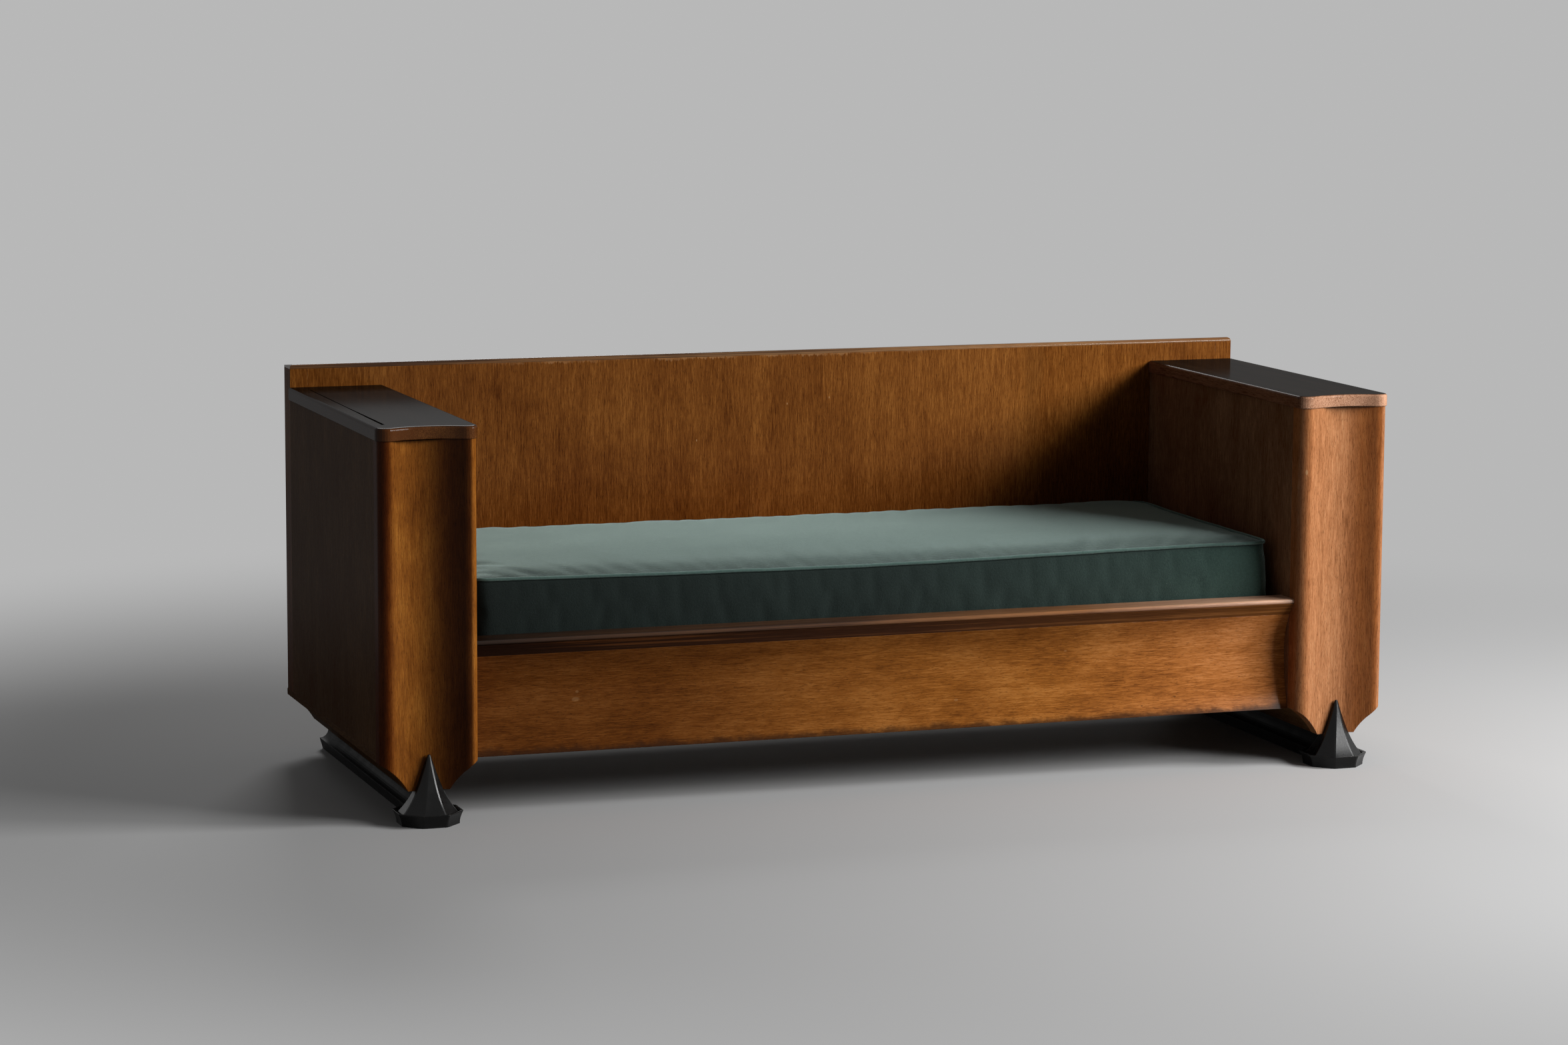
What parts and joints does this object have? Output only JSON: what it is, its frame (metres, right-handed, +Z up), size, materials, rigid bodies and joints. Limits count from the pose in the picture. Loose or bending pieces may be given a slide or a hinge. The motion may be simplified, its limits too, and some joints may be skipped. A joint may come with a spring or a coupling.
{
  "type": "sofa",
  "caption": "Low box sofa with hollow-fronted arms on spiked feet and sled runners, a scooped front rail under a rounded nosing, a plank back and a loose boxed seat cushion.",
  "frame": {"origin": "on the floor, at the middle of the bounding box in X and Y", "axes": "+X along the sofa, to the right as seen from the front; +Y from the front to the back; +Z up from the floor"},
  "size_m": [2.006, 0.812, 0.769],
  "materials": {
    "oak": "semi-gloss varnish over red-brown oak",
    "oak_dark": "semi-gloss varnish over darker oak",
    "rosewood": "polished dark brown hardwood",
    "ebonised": "black stain with a soft polish",
    "beech": "bare planed hardwood",
    "green_wool": "dark green wool felt"
  },
  "bodies": {
    "frame": {"arm_front_left": "oak", "arm_outer_panel_left": "oak", "arm_inner_panel_left": "oak", "arm_rib_left": "beech", "arm_rear_post_left": "beech", "arm_plinth_left": "oak_dark", "arm_cap_left": "oak", "foot_left": "ebonised", "runner_left": "ebonised", "back_end_post_left": "oak", "seat_ledger_left": "beech", "corner_block_front_left": "beech", "corner_block_rear_left": "beech", "arm_front_right": "oak", "arm_outer_panel_right": "oak", "arm_inner_panel_right": "oak", "arm_rib_right": "beech", "arm_rear_post_right": "beech", "arm_plinth_right": "oak_dark", "arm_cap_right": "oak", "foot_right": "ebonised", "runner_right": "ebonised", "back_end_post_right": "oak", "seat_ledger_right": "beech", "corner_block_front_right": "beech", "corner_block_rear_right": "beech", "back_front_skin": "oak", "back_rear_skin": "oak_dark", "back_top_rail": "beech", "back_bottom_rail": "beech", "back_stile_1": "beech", "back_stile_2": "beech", "back_stile_3": "beech", "back_edging": "oak_dark", "front_rail": "oak", "rail_band": "rosewood", "rail_nosing": "oak", "rail_dowels": "beech", "seat_ledger_front": "beech", "seat_ledger_rear": "beech", "seat_slat_1": "beech", "seat_slat_2": "beech", "seat_slat_3": "beech", "seat_slat_4": "beech", "seat_slat_5": "beech", "seat_slat_6": "beech", "seat_slat_7": "beech", "seat_slat_8": "beech", "seat_slat_9": "beech", "seat_slat_10": "beech", "seat_slat_11": "beech"},
    "cushion": {"seat_cushion": "green_wool"}
  },
  "joints": [
    {"name": "cushion_lift", "type": "slide", "parent": "frame", "child": "cushion", "axis": [0, 0, 1], "range_m": [0, 0.3]}
  ]
}
